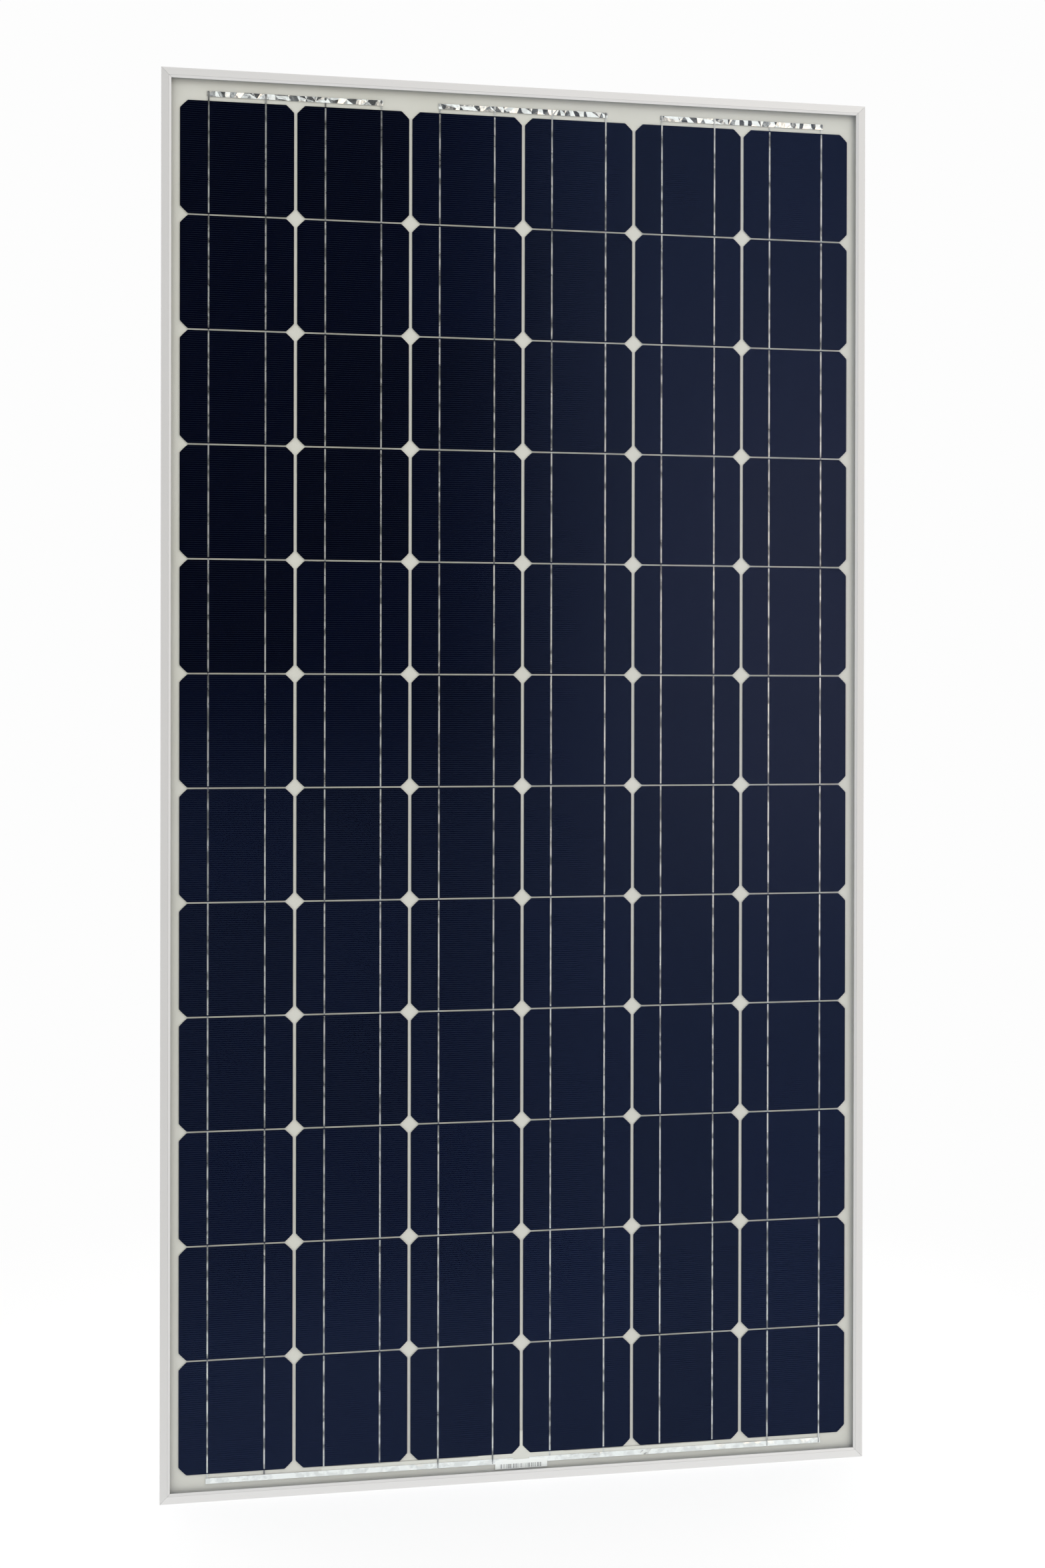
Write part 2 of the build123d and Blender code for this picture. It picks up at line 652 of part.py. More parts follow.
def terminal_rail(number):
    """A stamped rail that takes one lead; the outer two are longer and tapped for a cable clamp screw."""
    x = LEAD_XS[number]
    is_outer = number in (0, 3)
    z_low = BOX_FOOT + RAIL_START
    z_high = z_low + (OUTER_RAIL if is_outer else INNER_RAIL)
    rail = block((x - RAIL_WIDTH / 2, x + RAIL_WIDTH / 2), (RAIL_Y, RAIL_FACE_Y), (z_low, z_high))
    if is_outer:
        rail -= across(SCREW_RADIUS, x, RAIL_Y, RAIL_FACE_Y, z_low + SCREW_RISE)
    return rail


def ribbon_clip(x):
    """A spring clip wrapped round a rail, pressing the lead's tail onto it."""
    half = RAIL_WIDTH / 2
    low, high = RAIL_Y, RAIL_FACE_Y + RIBBON
    z_low = BOX_FOOT + RAIL_START + CLIP_RISE
    z_span = (z_low, z_low + CLIP_LENGTH)
    clip = block((x - half - CLIP, x + half + CLIP), (low - CLIP, high + CLIP), z_span)
    clip -= block((x - half, x + half), (low, high), z_span)
    return clip - block((x - CLIP_SLIT / 2, x + CLIP_SLIT / 2), (high, high + CLIP), z_span)


def bypass_diode(number):
    """An axial diode between two neighbouring rails, its wires lying on them."""
    x = (LEAD_XS[number] + LEAD_XS[number + 1]) / 2
    y = RAIL_FACE_Y + DIODE_LEAD_RADIUS
    reach = RAIL_PITCH / 2 - RAIL_WIDTH / 2 + DIODE_LEAD_REACH
    turned = Pos(x, y, BOX_FOOT + RAIL_START + DIODE_RISE) * Rot(0, 90, 0)
    return turned * Cylinder(DIODE_LEAD_RADIUS, 2 * reach) + turned * Cylinder(DIODE_RADIUS, DIODE_LENGTH)


def clamp_screw(side):
    """A slotted cheese-head screw that clamps a cable's end to its rail."""
    x = side * GLAND_X
    z = BOX_FOOT + RAIL_START + SCREW_RISE
    top = RAIL_FACE_Y + SCREW_HEAD
    screw = across(SCREW_HEAD_RADIUS, x, RAIL_FACE_Y, top, z)
    screw += across(SCREW_RADIUS, x, top - SCREW_HEAD - SCREW_LENGTH, RAIL_FACE_Y, z)
    slot_x = (x - SCREW_HEAD_RADIUS, x + SCREW_HEAD_RADIUS)
    return screw - block(slot_x, (top - SCREW_SLOT, top), (z - SCREW_SLOT / 2, z + SCREW_SLOT / 2))


def gland_seal(side):
    """The rubber ring that closes round a cable."""
    z_high = BOX_TOP + SPOUT_LENGTH + SEAL_PROUD
    x = side * GLAND_X
    ring = upright(SPOUT_BORE, x, GLAND_Y, z_high - SEAL_LENGTH, z_high)
    return ring - upright(SEAL_BORE, x, GLAND_Y, z_high - SEAL_LENGTH, z_high)


def gland_nut(side):
    """The six-sided cap nut that squeezes the ring."""
    x = side * GLAND_X
    z_low = BOX_TOP + NUT_STAND_OFF
    z_high = z_low + NUT_LENGTH
    hexagon = RegularPolygon(NUT_ACROSS_FLATS / 2, 6, major_radius=False)
    nut = Pos(x, GLAND_Y, z_low) * extrude(hexagon, amount=NUT_HEX)
    nose = NUT_LENGTH - NUT_HEX
    cone = Cone(NUT_ACROSS_FLATS / 2, NUT_NOSE_RADIUS, nose)
    nut += Pos(x, GLAND_Y, z_high - nose / 2) * cone
    spout_end = BOX_TOP + SPOUT_LENGTH + SEAL
    ring_end = spout_end + SEAL_PROUD
    nut -= upright(SPOUT_RADIUS + NUT_CLEARANCE, x, GLAND_Y, z_low, spout_end)
    nut -= upright(SPOUT_BORE + NUT_SEAL_CLEARANCE, x, GLAND_Y, spout_end, ring_end)
    return nut - upright(NUT_MOUTH, x, GLAND_Y, ring_end, z_high)


def parts():
    """Every node's name and its solids."""
    made = {}
    turns = {"left": 0, "right": 180, "top": 90, "bottom": -90}
    for name, turn in turns.items():
        is_long = turn in (0, 180)
        length, distance = (HEIGHT, WIDTH / 2) if is_long else (WIDTH, HEIGHT / 2)
        side = -1 if name in ("left", "bottom") else 1
        made[f"frame_rail_{name}"] = long_rail(side) if is_long else short_rail(side)
        made[f"edge_seal_{name}"] = edge_seal(length, distance, turn)
    for z_side, height in ((1, "top"), (-1, "bottom")):
        for x_side, hand in ((-1, "left"), (1, "right")):
            made[f"corner_key_{height}_{hand}"] = corner_key(x_side, z_side)
    made["front_glass"] = front_glass()
    made["front_encapsulant"] = film_sheet(FRONT_FILM_Y, FRONT_FILM)
    for string in range(1, COLUMNS + 1):
        made[f"cell_string_{string}"] = cell_string(string)
        made[f"string_ribbons_{string}"] = string_ribbons(string)
    for first in range(1, COLUMNS, 2):
        made[f"link_ribbon_top_{first}{first + 1}"] = top_link(first, first + 1)
    made["link_ribbon_bottom_13"] = bottom_link(1)
    made["link_ribbon_bottom_46"] = bottom_link(2)
    for string in TERMINAL_STRINGS:
        made[f"terminal_ribbon_{string}"] = terminal_ribbon(string)
    made["insulating_strip"] = insulating_strip()
    made["lead_insulator"] = lead_insulator()
    made["bar_label"] = bar_label()
    made["rear_encapsulant"] = rear_encapsulant()
    made["backsheet"] = backsheet()
    made["rating_label"] = rating_label()
    made["box_adhesive"] = box_adhesive()
    made["junction_box_base"] = box_base()
    made["junction_box_lid"] = box_lid()
    made["lid_gasket"] = lid_gasket()
    made["hinge_pin"] = hinge_pin()
    for number in range(len(LEAD_XS)):
        made[f"terminal_rail_{number + 1}"] = terminal_rail(number)
    made["ribbon_clips"] = [ribbon_clip(x) for x in LEAD_XS]
    for number in range(len(LEAD_XS) - 1):
        made[f"bypass_diode_{number + 1}"] = bypass_diode(number)
    made["clamp_screws"] = [clamp_screw(side) for side in SIDES]
    for side, hand in ((-1, "left"), (1, "right")):
        made[f"gland_seal_{hand}"] = gland_seal(side)
        made[f"gland_nut_{hand}"] = gland_nut(side)
    return made


def main():
    """Writes each node to its own STEP file."""
    os.makedirs("parts", exist_ok=True)
    for name, solids in parts().items():
        shape = Compound(children=solids) if isinstance(solids, list) else solids
        export_step(shape, f"parts/{name}.step")


main()
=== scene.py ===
import math
import random

import bpy
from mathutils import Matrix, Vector


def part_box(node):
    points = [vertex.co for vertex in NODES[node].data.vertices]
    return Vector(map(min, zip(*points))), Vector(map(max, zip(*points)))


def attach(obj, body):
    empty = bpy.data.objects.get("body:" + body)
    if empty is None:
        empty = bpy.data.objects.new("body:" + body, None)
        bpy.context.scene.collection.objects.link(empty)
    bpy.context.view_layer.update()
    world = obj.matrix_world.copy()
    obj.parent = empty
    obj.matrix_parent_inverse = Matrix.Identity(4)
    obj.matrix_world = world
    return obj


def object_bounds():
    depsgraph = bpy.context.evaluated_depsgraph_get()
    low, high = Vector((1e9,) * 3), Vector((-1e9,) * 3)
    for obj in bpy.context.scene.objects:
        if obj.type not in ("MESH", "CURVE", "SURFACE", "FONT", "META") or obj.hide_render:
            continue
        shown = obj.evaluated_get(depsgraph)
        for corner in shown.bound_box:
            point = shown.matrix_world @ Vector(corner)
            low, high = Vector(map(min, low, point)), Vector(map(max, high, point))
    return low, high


bl_info = {
    "name": "Framed solar panel",
    "version": (1, 0, 0),
    "blender": (4, 5, 0),
    "location": "3D View > Sidebar > Solar Panel",
    "description": "Finishes a framed photovoltaic panel: cells, ribbons, glass, frame and junction box",
    "category": "Object",
}

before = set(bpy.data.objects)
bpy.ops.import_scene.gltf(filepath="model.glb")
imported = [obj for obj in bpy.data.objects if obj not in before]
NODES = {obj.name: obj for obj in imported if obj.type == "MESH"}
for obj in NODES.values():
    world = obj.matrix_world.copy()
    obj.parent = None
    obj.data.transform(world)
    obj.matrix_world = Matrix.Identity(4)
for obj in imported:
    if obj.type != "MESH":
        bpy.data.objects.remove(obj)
CAD_BOX = [list(corner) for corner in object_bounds()]
MM = 0.001
ROWS = 12
STRINGS = range(1, 7)
SIDE_NAMES = ("left", "right", "top", "bottom")

# Just over half the length of a diode's body, past which its wires start
DIODE_REACH = 4.78 * MM

# The surround's unlit and bright parts: where each edge starts and ends, across or up per metre ahead
IN_FRONT = (0.3, 0.6)
UNLIT_RIGHT = (0.235, 0.105)
UNLIT_LEFT = (-0.5, -0.2)
UNLIT_HORIZON = (-0.075, 0.01, 0.5, 1.0)
UNLIT_TOP = (0.75, 0.45)
UNLIT_FOOT = (-0.75, -0.5)
UNLIT_LEVEL = 0.03
GLOW_LEFT = (0.14, 0.34)
GLOW_RIGHT = (0.75, 0.5)
GLOW_FOOT = (-0.2, 0.0)
GLOW_TOP = (0.33, 0.08)
GLOW_LEVEL = 1.1


# Small helpers


def linear(code):
    """An sRGB hex colour as linear red, green and blue."""
    channels = [int(code[start : start + 2], 16) / 255 for start in (1, 3, 5)]
    return tuple(c / 12.92 if c <= 0.04045 else ((c + 0.055) / 1.055) ** 2.4 for c in channels)


def rgba(colour):
    """A colour with full opacity, as a shader socket takes it."""
    return (*colour, 1.0)


def add(tree, kind, inputs=None, **settings):
    """Adds one node, sets its properties, and sets or links its inputs."""
    node = tree.nodes.new(kind)
    for name, value in settings.items():
        setattr(node, name, value)
    for socket, value in (inputs or {}).items():
        if isinstance(value, bpy.types.NodeSocket):
            tree.links.new(value, node.inputs[socket])
        else:
            node.inputs[socket].default_value = value
    return node


def new_material(name):
    """An empty node material and its tree."""
    material = bpy.data.materials.new(name)
    material.use_nodes = True
    material.node_tree.nodes.clear()
    return material, material.node_tree


def surface(tree, shader):
    """Ends a material in a shader."""
    add(tree, "ShaderNodeOutputMaterial", {"Surface": shader})


def place(tree, scale=(1.0, 1.0, 1.0), offset=(0.0, 0.0, 0.0)):
    """The piece's own coordinates, in metres, scaled for a pattern."""
    coordinates = add(tree, "ShaderNodeTexCoord")
    mapping = {"Vector": coordinates.outputs["Object"], "Scale": scale, "Location": offset}
    return add(tree, "ShaderNodeMapping", mapping).outputs["Vector"]


def per_metre(size_mm):
    """How often a pattern of this size, in millimetres, repeats in a metre."""
    return 1.0 / (size_mm * MM)


def shared(maker, *choices):
    """A material that is made once and used by every piece that asks for it."""
    key = (maker.__name__, *choices)
    if key not in shared.made:
        shared.made[key] = maker(*choices)
    return shared.made[key]


shared.made = {}


def finish_node(name, material):
    """Gives a CAD node its material."""
    mesh = NODES[name].data
    mesh.materials.clear()
    mesh.materials.append(material)


def new_piece(name, points, faces, material, body, smooth=False):
    """Makes a mesh piece that rides on a body and takes its finish from a slot."""
    mesh = bpy.data.meshes.new(name)
    mesh.from_pydata(points, [], faces)
    mesh.validate()
    mesh.update()
    mesh.materials.append(material)
    for polygon in mesh.polygons:
        polygon.use_smooth = smooth
    piece = bpy.data.objects.new(name, mesh)
    bpy.context.scene.collection.objects.link(piece)
    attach(piece, body)
    return piece


def add_block(points, faces, low, high):
    """Adds a closed block between two corners to a mesh's lists."""
    first = len(points)
    for z in (low[2], high[2]):
        points += [(low[0], low[1], z), (high[0], low[1], z), (high[0], high[1], z), (low[0], high[1], z)]
    quads = [(0, 3, 2, 1), (4, 5, 6, 7), (0, 1, 5, 4), (1, 2, 6, 5), (2, 3, 7, 6), (3, 0, 4, 7)]
    faces += [tuple(first + corner for corner in quad) for quad in quads]


def add_dome(points, faces, centre, half_width, half_height, rise, rings=4, segments=16):
    """Adds a closed oval bead that stands out of a face towards -Y."""
    first = len(points)
    x, y, z = centre
    points.append((x, y, z))
    for ring in range(rings):
        lift = math.pi / 2 * ring / rings
        for step in range(segments):
            turn = 2 * math.pi * step / segments
            out = math.cos(lift)
            place_x = x + half_width * out * math.cos(turn)
            place_z = z + half_height * out * math.sin(turn)
            points.append((place_x, y - rise * math.sin(lift), place_z))
    points.append((x, y - rise, z))
    tip = len(points) - 1
    for step in range(segments):
        ahead = (step + 1) % segments
        faces.append((first, first + 1 + ahead, first + 1 + step))
        for ring in range(rings - 1):
            near = first + 1 + ring * segments
            far = near + segments
            faces.append((near + step, near + ahead, far + ahead, far + step))
        last = first + 1 + (rings - 1) * segments
        faces.append((last + step, last + ahead, tip))


# Settings


class PanelCellSettings(bpy.types.PropertyGroup):
    """The printed cells."""

    finger_pitch: bpy.props.FloatProperty(
        name="Finger pitch", description="Distance between printed fingers", default=2.33 * MM, unit="LENGTH"
    )
    finger_width: bpy.props.FloatProperty(
        name="Finger width", description="Width of one printed finger", default=0.15 * MM, unit="LENGTH"
    )
    finger_height: bpy.props.FloatProperty(
        name="Finger height", description="Height of the printed paste", default=0.015 * MM, unit="LENGTH"
    )
    finger_margin: bpy.props.FloatProperty(
        name="Finger margin", description="Bare edge round the fingers", default=1.2 * MM, unit="LENGTH"
    )
    wafer_diameter: bpy.props.FloatProperty(
        name="Wafer diameter", description="Bar the cells were cut from", default=165 * MM, unit="LENGTH"
    )
    silicon: bpy.props.FloatVectorProperty(
        name="Silicon", description="Navy of the coated silicon", default=linear("#03071C"), subtype="COLOR"
    )
    silver: bpy.props.FloatVectorProperty(
        name="Silver paste", description="Fired fingers' grey", default=linear("#40465C"), subtype="COLOR"
    )


class PanelRibbonSettings(bpy.types.PropertyGroup):
    """The tinned ribbons."""

    crease_height: bpy.props.FloatProperty(
        name="Crease height", description="How far a crease lifts", default=0.08 * MM, unit="LENGTH"
    )
    crease_spacing: bpy.props.FloatProperty(
        name="Crease spacing", description="Mean distance between creases", default=7 * MM, unit="LENGTH"
    )
    tin: bpy.props.FloatVectorProperty(
        name="Tin", description="Colour of the tinned copper", default=linear("#FAFBFC"), subtype="COLOR"
    )


class PanelFrameSettings(bpy.types.PropertyGroup):
    """The frame and the laminate."""

    aluminium: bpy.props.FloatVectorProperty(
        name="Aluminium", description="Colour of the rails", default=linear("#D6D6D5"), subtype="COLOR"
    )
    line_spacing: bpy.props.FloatProperty(
        name="Die line spacing", description="Distance between die lines", default=0.4 * MM, unit="LENGTH"
    )
    backsheet: bpy.props.FloatVectorProperty(
        name="Backsheet", description="Colour of the white film", default=linear("#DEDBD5"), subtype="COLOR"
    )
    glass_tint: bpy.props.FloatVectorProperty(
        name="Glass tint", description="Colour of its reflection", default=linear("#98B5FF"), subtype="COLOR"
    )


class PanelBoxSettings(bpy.types.PropertyGroup):
    """The junction box."""

    plastic: bpy.props.FloatVectorProperty(
        name="Plastic", description="Colour of the moulded box", default=linear("#1B1C1E"), subtype="COLOR"
    )
    grain: bpy.props.FloatProperty(
        name="Mould grain", description="Size of the moulded grain", default=0.35 * MM, unit="LENGTH"
    )


class PanelStageSettings(bpy.types.PropertyGroup):
    """The floor, light and camera."""

    floor_radius: bpy.props.FloatProperty(
        name="Floor radius", description="Radius of the pale floor", default=1.3, unit="LENGTH"
    )
    floor_colour: bpy.props.FloatVectorProperty(
        name="Floor", description="Colour of the floor", default=linear("#7C7C7B"), subtype="COLOR"
    )
    surround: bpy.props.FloatProperty(
        name="Surround", description="Brightness of the studio's walls", default=1.0
    )
    overhead: bpy.props.FloatProperty(
        name="Overhead", description="How much brighter the ceiling is than the walls", default=1.25
    )
    floor_glow: bpy.props.FloatProperty(
        name="Floor glow", description="Light that comes up through the floor's acrylic sheet", default=0.78
    )
    lens: bpy.props.FloatProperty(name="Lens", description="Focal length in millimetres", default=41.895)


SETTINGS = {
    "panel_cells": PanelCellSettings,
    "panel_ribbons": PanelRibbonSettings,
    "panel_frame": PanelFrameSettings,
    "panel_box": PanelBoxSettings,
    "panel_stage": PanelStageSettings,
}


# Materials


def anodised_aluminium(along):
    """Extruded and anodised aluminium: a satin grey-white with faint die lines along each rail; the level
    rails' copy is brighter, a painted sheen.
    """
    settings = bpy.context.scene.panel_frame
    material, tree = new_material(f"anodised aluminium, {along}")
    fine = per_metre(settings.line_spacing / MM)
    coarse = per_metre(180)
    scale = (fine, fine, coarse) if along == "upright" else (coarse, fine, fine)
    lines = add(tree, "ShaderNodeTexNoise", {"Vector": place(tree, scale), "Scale": 1.0, "Detail": 3.0})
    soft_scale = tuple(per_metre(60) if value == fine else per_metre(500) for value in scale)
    cloud = add(tree, "ShaderNodeTexNoise", {"Vector": place(tree, soft_scale), "Scale": 1.0, "Detail": 2.0})
    # The level rails' colour is 1.1 times the plain colour: a painted sheen that stands for the bright floor
    # and ceiling their die lines reflect. The upright rails keep the plain colour.
    base = settings.aluminium if along == "upright" else tuple(1.1 * c for c in settings.aluminium)
    tint = {"Factor": cloud.outputs["Fac"], 6: rgba(tuple(0.955 * c for c in base)), 7: rgba(base)}
    colour = add(tree, "ShaderNodeMix", tint, data_type="RGBA")
    rough = {"Value": lines.outputs["Fac"], "To Min": 0.42, "To Max": 0.52}
    roughness = add(tree, "ShaderNodeMapRange", rough)
    height = {"Height": lines.outputs["Fac"], "Strength": 0.12, "Distance": 0.02 * MM}
    bump = add(tree, "ShaderNodeBump", height)
    shader = add(
        tree,
        "ShaderNodeBsdfPrincipled",
        {
            "Base Color": colour.outputs[2],
            "Metallic": 0.45,
            "Roughness": roughness.outputs["Result"],
            "Normal": bump.outputs["Normal"],
        },
    )
    surface(tree, shader.outputs["BSDF"])
    return material


def solar_glass():
    """Low-iron solar glass: clear, with a soft, faintly lavender reflection from its stippled front."""
    settings = bpy.context.scene.panel_frame
    material, tree = new_material("stippled solar glass")
    clear = add(tree, "ShaderNodeBsdfTransparent", {"Color": rgba(linear("#FDFEFD"))})
    etch = {"Vector": place(tree), "Scale": per_metre(1.6), "Detail": 2.0}
    grain = add(tree, "ShaderNodeTexNoise", etch)
    height = {"Height": grain.outputs["Fac"], "Strength": 0.03, "Distance": 0.05 * MM}
    bump = add(tree, "ShaderNodeBump", height)
    gloss = {"Color": rgba(settings.glass_tint), "Roughness": 0.12, "Normal": bump.outputs["Normal"]}
    shine = add(tree, "ShaderNodeBsdfGlossy", gloss)
    edge = add(tree, "ShaderNodeFresnel", {"IOR": 1.345})
    inside = add(tree, "ShaderNodeNewGeometry").outputs["Backfacing"]
    outside = add(tree, "ShaderNodeMath", {0: 1.0, 1: inside}, operation="SUBTRACT")
    amount = {0: edge.outputs["Fac"], 1: outside.outputs[0]}
    weight = add(tree, "ShaderNodeMath", amount, operation="MULTIPLY")
    mixed = {"Fac": weight.outputs[0], 1: clear.outputs["BSDF"], 2: shine.outputs["BSDF"]}
    surface(tree, add(tree, "ShaderNodeMixShader", mixed).outputs["Shader"])
    return material


def clear_film():
    """Cured EVA film: as clear as the glass it is fused to, with the faintest haze."""
    material, tree = new_material("cured EVA film")
    haze = add(tree, "ShaderNodeTexNoise", {"Vector": place(tree), "Scale": per_metre(90), "Detail": 1.0})
    tint = {"Factor": haze.outputs["Fac"], 6: rgba(linear("#FDFDFC")), 7: rgba(linear("#FFFFFF"))}
    colour = add(tree, "ShaderNodeMix", tint, data_type="RGBA")
    clear = add(tree, "ShaderNodeBsdfTransparent", {"Color": colour.outputs[2]})
    surface(tree, clear.outputs["BSDF"])
    return material


def coated_silicon():
    """Etched monocrystalline silicon under blue silicon nitride: a dark navy, softly shining surface."""
    settings = bpy.context.scene.panel_cells
    material, tree = new_material("nitride-coated silicon")
    low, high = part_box("cell_string_1")
    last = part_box("cell_string_6")[0]
    size = high.x - low.x
    pitch_x = (last.x - low.x) / (len(STRINGS) - 1)
    pitch_z = (high.z - low.z - size) / (ROWS - 1)
    scale = (1 / pitch_x, 0.0, 1 / pitch_z)
    offset = (-low.x / pitch_x, 0.0, -low.z / pitch_z)
    cells = add(tree, "ShaderNodeVectorMath", {0: place(tree, scale, offset)}, operation="FLOOR")
    chance = add(tree, "ShaderNodeTexWhiteNoise", {"Vector": cells.outputs["Vector"]})
    mottle = add(tree, "ShaderNodeTexNoise", {"Vector": place(tree), "Scale": per_metre(14), "Detail": 5.0})
    dark = rgba(tuple(0.72 * c for c in settings.silicon))
    pale = rgba(tuple(1.25 * c for c in settings.silicon))
    tint = {"Factor": chance.outputs["Value"], 6: dark, 7: pale}
    colour = add(tree, "ShaderNodeMix", tint, data_type="RGBA")
    rough = {"Value": mottle.outputs["Fac"], "To Min": 0.33, "To Max": 0.43}
    roughness = add(tree, "ShaderNodeMapRange", rough)
    shader = add(
        tree,
        "ShaderNodeBsdfPrincipled",
        {"Base Color": colour.outputs[2], "Metallic": 1.0, "Roughness": roughness.outputs["Result"]},
    )
    surface(tree, shader.outputs["BSDF"])
    return material


def silver_paste():
    """Screen-printed and fired silver paste: a dull blue-grey metal."""
    settings = bpy.context.scene.panel_cells
    material, tree = new_material("fired silver paste")
    grain = add(tree, "ShaderNodeTexNoise", {"Vector": place(tree), "Scale": per_metre(6), "Detail": 3.0})
    dark = rgba(tuple(0.75 * c for c in settings.silver))
    tint = {"Factor": grain.outputs["Fac"], 6: dark, 7: rgba(settings.silver)}
    colour = add(tree, "ShaderNodeMix", tint, data_type="RGBA")
    shader = add(
        tree,
        "ShaderNodeBsdfPrincipled",
        {"Base Color": colour.outputs[2], "Metallic": 0.85, "Roughness": 0.5},
    )
    surface(tree, shader.outputs["BSDF"])
    return material


def tinned_copper(patches):
    """Hot-dipped tin on copper ribbon: silver and crinkled on wide ribbon, with painted glints: its colour
    swings between dark and bright patches, in dashes on tabs.

    Creased ribbon is a brighter, smoother metal that folds in facets, and its painted glint patches are
    faint; a flat tab is rougher and duller, and its painted glint patches are strong.
    """
    settings = bpy.context.scene.panel_ribbons
    creased = patches == "creased"
    material, tree = new_material(f"tinned copper, {patches}")
    # The colour's bright and dark patches are painted glints that stand for facets catching the lamp: faint
    # on creased ribbon, strong on flat tabs and solder
    painted_glint_scale = per_metre(9 if creased else 14)
    cloud = add(tree, "ShaderNodeTexNoise", {"Vector": place(tree), "Scale": painted_glint_scale, "Detail": 2.5})
    edges = {"Value": cloud.outputs["Fac"], "From Min": 0.4, "From Max": 0.55}
    amount = add(tree, "ShaderNodeMapRange", edges)
    dull, painted_glint_level = (0.85, 1.0) if creased else (0.2, 0.68)
    dark = rgba(tuple(dull * c for c in settings.tin))
    bright = rgba(tuple(painted_glint_level * c for c in settings.tin))
    tint = {"Factor": amount.outputs["Result"], 6: dark, 7: bright}
    colour = add(tree, "ShaderNodeMix", tint, data_type="RGBA")
    grain = {"Vector": place(tree), "Scale": per_metre(3.5 if creased else 4.5), "Detail": 3.0}
    fine = add(tree, "ShaderNodeTexNoise", grain)
    least, most = (0.12, 0.24) if creased else (0.2, 0.4)
    rough = {"Value": fine.outputs["Fac"], "To Min": least, "To Max": most}
    roughness = add(tree, "ShaderNodeMapRange", rough)
    waves = {"Height": fine.outputs["Fac"], "Strength": 0.3 if creased else 0.5, "Distance": 0.5 * MM}
    bump = add(tree, "ShaderNodeBump", waves)
    if creased:
        facets = {"Vector": place(tree), "Scale": per_metre(15)}
        crinkle = add(tree, "ShaderNodeTexVoronoi", facets, feature="DISTANCE_TO_EDGE")
        height = crinkle.outputs["Distance"]
        folds = {"Height": height, "Distance": 2.6 * MM, "Normal": bump.outputs["Normal"]}
        bump = add(tree, "ShaderNodeBump", folds)
    shader = add(
        tree,
        "ShaderNodeBsdfPrincipled",
        {
            "Base Color": colour.outputs[2],
            "Metallic": 1.0 if creased else 0.8,
            "Roughness": roughness.outputs["Result"],
            "Normal": bump.outputs["Normal"],
        },
    )
    surface(tree, shader.outputs["BSDF"])
    return material


def speckled(name, code, roughness, grain_mm, strength, contrast=0.88, metallic=0.0):
    """A surface with a fine even grain: its colour drifts a little and its grain catches the light."""
    material, tree = new_material(name)
    pattern = {"Vector": place(tree), "Scale": per_metre(grain_mm), "Detail": 3.0}
    grain = add(tree, "ShaderNodeTexNoise", pattern)
    drift = add(tree, "ShaderNodeTexNoise", {"Vector": place(tree), "Scale": per_metre(45), "Detail": 2.0})
    colour = linear(code) if isinstance(code, str) else tuple(code)
    dark = rgba(tuple(contrast * c for c in colour))
    tint = {"Factor": drift.outputs["Fac"], 6: dark, 7: rgba(colour)}
    mixed = add(tree, "ShaderNodeMix", tint, data_type="RGBA")
    depth = {"Height": grain.outputs["Fac"], "Strength": strength, "Distance": 0.2 * grain_mm * MM}
    bump = add(tree, "ShaderNodeBump", depth)
    shader = add(
        tree,
        "ShaderNodeBsdfPrincipled",
        {
            "Base Color": mixed.outputs[2],
            "Metallic": metallic,
            "Roughness": roughness,
            "Normal": bump.outputs["Normal"],
        },
    )
    surface(tree, shader.outputs["BSDF"])
    return material


def backsheet_film():
    """White fluoropolymer film over polyester: matt, faintly embossed, a little grey."""
    colour = bpy.context.scene.panel_frame.backsheet
    return speckled("white fluoropolymer film", colour, 0.55, 0.8, 0.15, 0.96)


def insulating_film():
    """White polyester insulating strip: smooth and slightly warmer than the backsheet."""
    return speckled("white polyester strip", "#DEDCD5", 0.45, 1.2, 0.1, 0.97)


def label_paper():
    """Coated white label stock: matt and bright."""
    return speckled("white label stock", "#FCFCFA", 0.5, 0.4, 0.1, 0.97)


def printing_ink():
    """Black thermal print: matt."""
    return speckled("black print", "#161616", 0.6, 0.3, 0.1)


def moulded_plastic():
    """Black PPO, moulded in a spark-eroded tool: near-black with a fine even grain."""
    settings = bpy.context.scene.panel_box
    return speckled("moulded PPO", settings.plastic, 0.5, settings.grain / MM, 0.45)


def nut_plastic():
    """Glass-filled nylon: black, a little shinier than the box."""
    return speckled("glass-filled nylon", "#17181A", 0.38, 0.5, 0.3)


def black_rubber():
    """Moulded EPDM rubber: matt black."""
    return speckled("EPDM rubber", "#121212", 0.75, 0.4, 0.3)


def seal_foam():
    """Grey butyl edge tape: dull and dark."""
    return speckled("butyl edge tape", "#5C5E5C", 0.8, 0.6, 0.3)


def silicone():
    """Neutral-cure silicone sealant: white and slightly glossy."""
    return speckled("silicone sealant", "#C9CAC8", 0.35, 2.5, 0.2, 0.95)


def mill_aluminium():
    """Mill-finish extruded aluminium: dull silver with grey streaks."""
    return speckled("mill-finish aluminium", "#B9BABB", 0.5, 0.8, 0.3, 0.85, 0.9)


def tinned_brass():
    """Tin-plated brass stamping: a soft, warm silver."""
    return speckled("tin-plated brass", "#D3CFC0", 0.35, 0.7, 0.15, 0.85, 1.0)


def plated_steel():
    """Zinc-plated steel: bright with a faint blue cast."""
    return speckled("zinc-plated steel", "#C3C7CC", 0.3, 0.5, 0.15, 0.85, 1.0)


